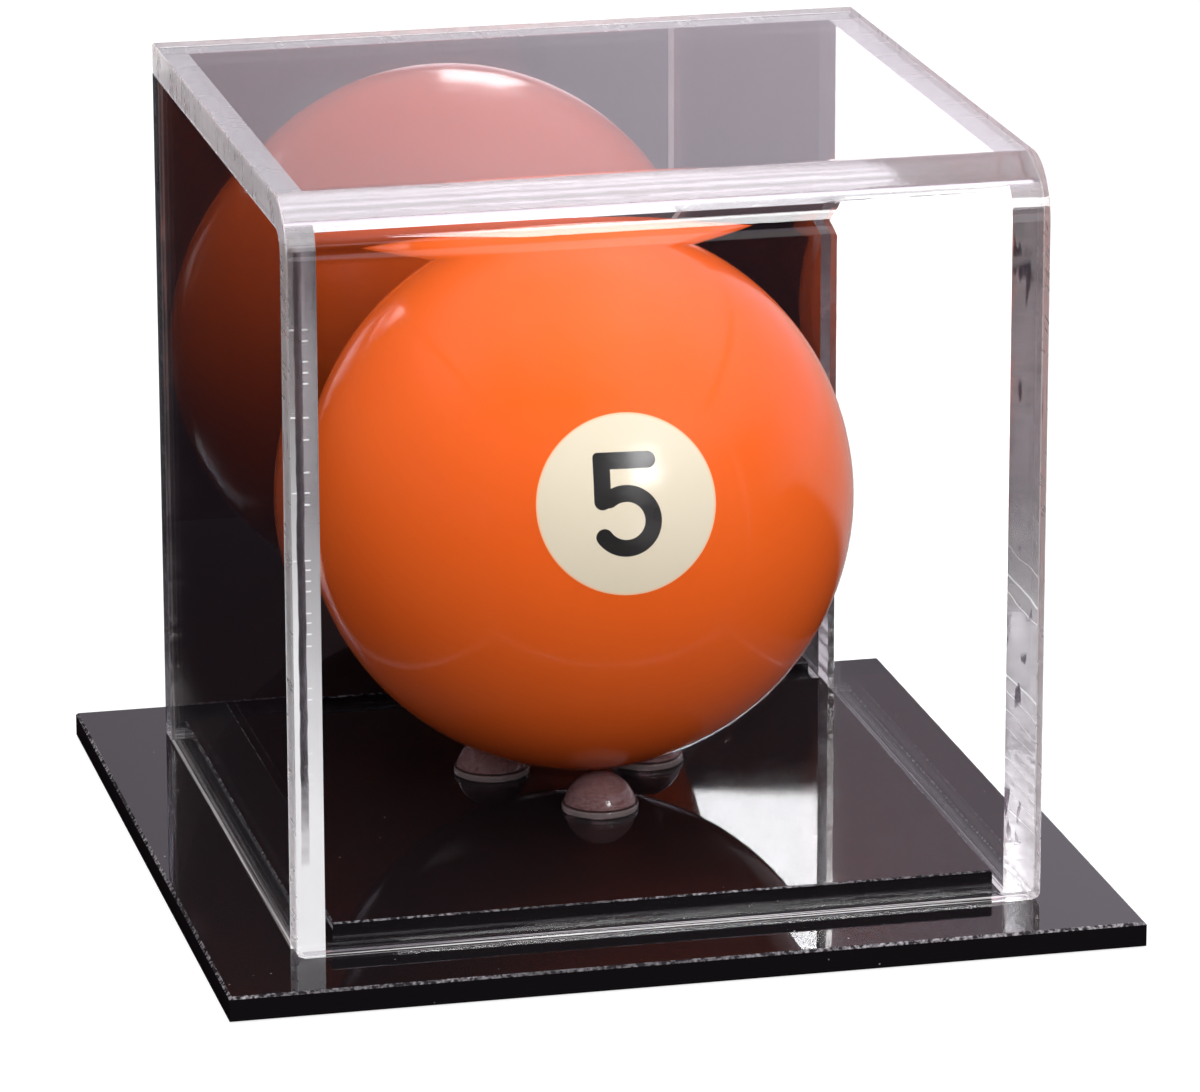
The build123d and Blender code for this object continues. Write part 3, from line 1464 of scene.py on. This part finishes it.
        # A polished clear sheet hardly shades what lies behind it
        if slot == "clear_acrylic":
            piece.visible_shadow = False
            piece.visible_diffuse = False
        log.info("%s: %d faces in place of %s", piece.name, len(piece.data.polygons), node)
        return piece

    def build(self) -> None:
        """Builds every piece of the cover."""
        self.front_top_sheet()
        for side in Side:
            self.side_panel(side)
        self.mirror()


# Studio


@dataclass(frozen=True)
class SoftBox:
    """An area lamp that faces the case; its angles are in degrees, positive to the right."""

    name: str
    azimuth: float
    elevation: float
    distance: float
    size: Pair
    radiance: float

    def hang(self, aim: Vector) -> Piece:
        """Hangs the lamp in the scene.

        Args:
            aim: The point that it faces.

        Returns:
            The lamp.
        """
        data = bpy.data.lights.new(self.name, "AREA")
        data.shape = "RECTANGLE"
        data.size, data.size_y = self.size
        data.energy = LAMP_POWER * self.radiance * self.size[0] * self.size[1]
        lamp = bpy.data.objects.new(self.name, data)
        away = heading(self.azimuth, self.elevation)
        lamp.location = aim + away * self.distance
        lamp.rotation_mode = "QUATERNION"
        lamp.rotation_quaternion = away.to_track_quat("Z", "Y")
        lamp.visible_camera = False
        bpy.context.scene.collection.objects.link(lamp)
        return lamp


@dataclass
class Studio:
    """Pale floor, surround, soft lamps and the camera."""

    aim: Point = (0.0, 0.0, 0.04)
    floor_reach: float = 6.0
    floor_drop: float = 0.2 * MM
    camera_place: Point = (-0.15900, -0.68398, 0.23917)
    camera_yaw: float = -13.20
    camera_pitch: float = 16.47
    camera_roll: float = 0.14
    camera_lens: float = 212.57
    floor_glow: float = 0.78
    floor_shade: float = 0.3
    table_colour: Colour = (0.008, 0.0055, 0.007)
    card_start_y: Pair = (0.05, 0.07)
    card_start_x: Pair = (-0.045, -0.035)
    card_level: float = 0.6
    white_through: float = 1.4
    soft_light: float = 0.8
    room_colour: Colour = (1.0, 0.91, 1.04)
    right_wall_x: Pair = (0.1, 0.3)
    right_wall_levels: Pair = (0.34, 0.83)
    left_shade_x: Pair = (-0.12, 0.04)
    left_shade_levels: Pair = (0.1, 1.0)
    front_shade: float = 0.93
    front_shade_y: Pair = (0.15, -0.35)
    front_shade_z: Pair = (0.5, 0.32)
    ceiling_level: float = 0.6
    ceiling_z: Pair = (0.5, 0.75)
    window_level: float = 1.6
    window_z: Pair = (0.1, 0.06)
    window_start_y: Pair = (-0.4, -0.46)
    window_side: tuple[float, float, float, float] = (0.14, 0.17, 0.36, 0.4)
    bounces: int = 64

    def floor(self) -> None:
        """Lays the pale floor, which mirrors and polished plates show as a dark table."""
        mesh = bpy.data.meshes.new("studio_floor")
        corners = [
            (x * self.floor_reach, y * self.floor_reach, -self.floor_drop)
            for x, y in ((-1, -1), (1, -1), (1, 1), (-1, 1))
        ]
        mesh.from_pydata(corners, [], [(0, 1, 2, 3)])
        floor = bpy.data.objects.new("studio_floor", mesh)
        bpy.context.scene.collection.objects.link(floor)
        material = bpy.data.materials.new("studio_floor_pale")
        material.use_nodes = True
        board = NodeBoard(material.node_tree)
        out = board.add("ShaderNodeOutputMaterial")
        pale = board.add("ShaderNodeBsdfDiffuse")
        pale.inputs["Color"].default_value = (*(self.floor_shade,) * 3, 1.0)
        glow = board.add("ShaderNodeEmission")
        direct, through = self.sight(board)
        strength = board.value("MULTIPLY_ADD", through, self.white_through, self.floor_glow)
        board.link(strength, glow.inputs["Strength"])
        mix = board.add("ShaderNodeMixShader")
        board.link(board.value("MAXIMUM", direct, through), mix.inputs["Fac"])
        sums = ((self.dark_table(board), self.pale_card(board)), (pale.outputs[0], glow.outputs[0]))
        for number, shaders in enumerate(sums, 1):
            both = board.add("ShaderNodeAddShader")
            for shader, socket in zip(shaders, both.inputs):
                board.link(shader, socket)
            board.link(both.outputs[0], mix.inputs[number])
        board.link(mix.outputs[0], out.inputs["Surface"])
        mesh.materials.append(material)

    def dark_table(self, board: NodeBoard) -> Socket:
        """Makes the dark table under the case.

        Args:
            board: The floor's node board.

        Returns:
            The table's shader.
        """
        table = board.add("ShaderNodeBsdfDiffuse")
        table.inputs["Color"].default_value = (*self.table_colour, 1.0)
        return table.outputs[0]

    def pale_card(self, board: NodeBoard) -> Socket:
        """Makes the pale card behind the case and the bright window in front of it.

        Args:
            board: The floor's node board.

        Returns:
            The card's shader.
        """
        x, y, _ = board.axes(board.add("ShaderNodeTexCoord").outputs["Object"])
        behind = board.remap(y, self.card_start_y, (0.0, self.card_level))
        beside = board.remap(x, self.card_start_x)
        front = board.remap(y, self.window_start_y, (0.0, self.window_level))
        window = board.product(front, self.window_span(board, x, y))
        card = board.add("ShaderNodeEmission")
        board.link(board.value("MULTIPLY_ADD", behind, beside, window), card.inputs["Strength"])
        return card.outputs[0]

    def window_span(self, board: NodeBoard, x: Socket, y: Socket) -> Socket:
        """Marks how far the bright window in front reaches to the sides.

        Args:
            board: The node board of the floor or the surround.
            x: The place or direction to the right.
            y: The place or direction to the back.

        Returns:
            A socket that is 1 in front within the window's sides.
        """
        left, left_full, right_full, right = self.window_side
        ratio = board.value("DIVIDE", x, board.product(y, -1.0))
        inside = board.remap(ratio, (left, left_full))
        short = board.remap(ratio, (right_full, right), (1.0, 0.0))
        return board.product(inside, short, board.value("LESS_THAN", y, 0.0))

    def sight(self, board: NodeBoard) -> tuple[Socket, Socket]:
        """Tells what looks straight at the surround, with or without clear sheets between.

        Args:
            board: The node board of the floor or the surround.

        Returns:
            A socket that is 1 for a direct look, and one that is 1 for a look through clear sheets.
        """
        path = board.add("ShaderNodeLightPath")
        bounced = board.value("ADD", path.outputs["Glossy Depth"], path.outputs["Diffuse Depth"])
        straight = board.value("LESS_THAN", bounced, 0.5)
        through = board.product(path.outputs["Is Transmission Ray"], straight)
        return path.outputs["Is Camera Ray"], through

    def world(self) -> None:
        """Sets the white surround, and the room that polished faces show."""
        world = bpy.data.worlds.new("studio_surround")
        world.use_nodes = True
        bpy.context.scene.world = world
        board = NodeBoard(world.node_tree)
        out = board.add("ShaderNodeOutputWorld")
        path = board.add("ShaderNodeLightPath")
        reflected = board.value("GREATER_THAN", path.outputs["Glossy Depth"], 0.5)
        direct, through = self.sight(board)
        lit = board.mix(Mixed.VALUES, reflected, self.soft_light, self.room(board))
        seen = board.value("MULTIPLY_ADD", through, self.white_through, 1.0)
        level = board.mix(Mixed.VALUES, board.value("MAXIMUM", direct, through), lit, seen)
        ground = board.add("ShaderNodeBackground")
        colour = board.blend(reflected, (1.0, 1.0, 1.0), self.room_colour)
        board.link(colour, ground.inputs["Color"])
        board.link(level, ground.inputs["Strength"])
        board.link(ground.outputs[0], out.inputs["Surface"])

    def room(self, board: NodeBoard) -> Socket:
        """Lays out the room's light by direction, as polished faces show it.

        Args:
            board: The surround's node board.

        Returns:
            The light's strength.
        """
        x, y, height = board.axes(board.add("ShaderNodeTexCoord").outputs["Generated"])
        frontal = board.remap(y, self.front_shade_y)
        low_front = board.product(board.remap(height, self.front_shade_z), frontal)
        right_wall = board.remap(x, self.right_wall_x, self.right_wall_levels)
        left_shade = board.remap(x, self.left_shade_x, self.left_shade_levels)
        shade = board.value("MULTIPLY_ADD", low_front, -self.front_shade, 1.0)
        low_sky = board.remap(height, self.window_z, (0.0, self.window_level))
        window = board.product(low_sky, self.window_span(board, x, y))
        dim = board.value("MULTIPLY_ADD", board.product(right_wall, left_shade), shade, window)
        high = board.remap(height, self.ceiling_z, (0.0, self.ceiling_level))
        return board.value("MULTIPLY_ADD", high, board.value("SUBTRACT", 1.0, frontal), dim)

    def lamps(self) -> None:
        """Hangs the key, fill and top lamps; polished faces show the key alone."""
        aim = Vector(self.aim)
        SoftBox("key_soft_box", 17.3, 25.2, 1.0, size=(0.2, 0.26), radiance=12.5).hang(aim)
        for box in (
            SoftBox("fill_soft_box", 0.0, 28.0, 1.6, size=(1.4, 0.7), radiance=2.2),
            SoftBox("top_soft_box", 0.0, 84.0, 1.2, size=(1.0, 1.0), radiance=2.1),
        ):
            lamp = box.hang(aim)
            lamp.visible_glossy = False
            lamp.visible_transmission = False

    def camera(self) -> None:
        """Sets the camera at the photograph's view."""
        data = bpy.data.cameras.new("photo_camera")
        data.sensor_width = 36.0
        data.lens = self.camera_lens
        data.clip_start, data.clip_end = 0.01, 50.0
        camera = bpy.data.objects.new("photo_camera", data)
        camera.rotation_mode = "QUATERNION"
        aim = (-heading(self.camera_yaw, self.camera_pitch)).to_track_quat("-Z", "Y").to_matrix()
        roll = Matrix.Rotation(-math.radians(self.camera_roll), 3, "Z")
        camera.rotation_quaternion = (aim @ roll).to_quaternion()
        camera.location = self.camera_place
        bpy.context.scene.collection.objects.link(camera)
        bpy.context.scene.camera = camera

    def build(self) -> None:
        """Sets up the whole studio."""
        self.camera()
        self.floor()
        self.world()
        self.lamps()
        scene = bpy.context.scene
        scene.view_settings.view_transform = "Standard"
        scene.cycles.caustics_reflective = True
        scene.cycles.caustics_refractive = False
        for kind in ("max", "transmission", "glossy"):
            setattr(scene.cycles, f"{kind}_bounces", self.bounces)


def main() -> None:
    """Builds the case's looks and the studio."""
    logging.basicConfig(level=logging.INFO, format="%(name)s: %(message)s")
    Studio().build()
    BlackStand().build()
    PoolBall().build()
    ClearCover().build()


if __name__ == "__main__":
    main()
